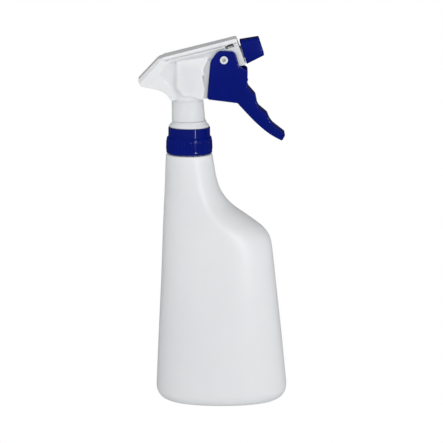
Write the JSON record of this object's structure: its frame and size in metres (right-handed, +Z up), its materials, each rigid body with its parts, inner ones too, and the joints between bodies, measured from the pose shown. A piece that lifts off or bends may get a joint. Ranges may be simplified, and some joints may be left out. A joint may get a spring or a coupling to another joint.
{
  "type": "trigger spray bottle",
  "caption": "Oval hand-held trigger spray bottle: offset threaded neck, ribbed screw collar, pump head, squeeze lever and turning nozzle.",
  "frame": {"origin": "middle of the bounding box on the surface that the bottle stands on", "axes": "+Z up along the neck, +X the way the nozzle sprays, +Y across the bottle's narrow side"},
  "size_m": [0.1098, 0.068, 0.2731],
  "materials": {
    "natural_polyethylene": "milky translucent, satin",
    "white_plastic": "moulded, semi-gloss",
    "blue_plastic": "moulded, gloss",
    "clear_plastic": "clear, natural",
    "soft_seal": "soft, matte",
    "stainless_steel": "drawn wire and polished ball"
  },
  "bodies": {
    "bottle": {"bottle": "natural_polyethylene"},
    "head": {"pump_body": "white_plastic", "shroud": "white_plastic", "neck_gasket": "soft_seal", "valve_seat": "clear_plastic", "dip_tube": "clear_plastic", "tube_strainer": "clear_plastic", "spinner": "white_plastic", "return_spring": "stainless_steel", "outlet_spring": "stainless_steel"},
    "collar": {"collar": "blue_plastic"},
    "trigger": {"trigger": "blue_plastic"},
    "piston": {"piston": "white_plastic", "pressure_seal": "clear_plastic", "vent_seal": "clear_plastic"},
    "nozzle": {"nozzle_cap": "blue_plastic", "nozzle_seal": "soft_seal"},
    "inlet_ball": {"inlet_ball": "stainless_steel"},
    "outlet_valve": {"outlet_valve": "soft_seal"}
  },
  "joints": [
    {"name": "collar_turn", "type": "hinge", "parent": "head", "child": "collar", "pos_m": [-0.01756, 0, 0.1952], "axis": [0, 0, 1], "range_deg": [0, 540]},
    {"name": "head_lift", "type": "slide", "parent": "bottle", "child": "head", "axis": [0, 0, 1], "range_m": [0, 0.0063]},
    {"name": "trigger_squeeze", "type": "hinge", "parent": "head", "child": "trigger", "pos_m": [0.00803, 0, 0.25731], "axis": [0, 1, 0], "range_deg": [0, 23], "stiffness_Nm_per_rad": 0.22, "springref_deg": -23.49},
    {"name": "piston_stroke", "type": "slide", "parent": "head", "child": "piston", "axis": [-0.9511, 0, -0.309], "range_m": [0, 0.00618], "deforming": ["return_spring"]},
    {"name": "nozzle_turn", "type": "hinge", "parent": "head", "child": "nozzle", "pos_m": [0.02204, 0, 0.2623], "axis": [0.9511, 0, 0.309], "continuous": true},
    {"name": "inlet_ball_lift", "type": "slide", "parent": "head", "child": "inlet_ball", "axis": [0, 0, 1], "range_m": [0, 0.0015]},
    {"name": "outlet_valve_lift", "type": "slide", "parent": "head", "child": "outlet_valve", "axis": [0.9511, 0, 0.309], "range_m": [0, 0.0008], "stiffness_N_per_m": 80, "springref_m": -0.002, "deforming": ["outlet_spring"]}
  ],
  "couplings": [
    {"joint": "trigger_squeeze", "follows": "piston_stroke", "rad_per_m": 64.935},
    {"joint": "collar_turn", "follows": "head_lift", "rad_per_m": 1484.3}
  ]
}
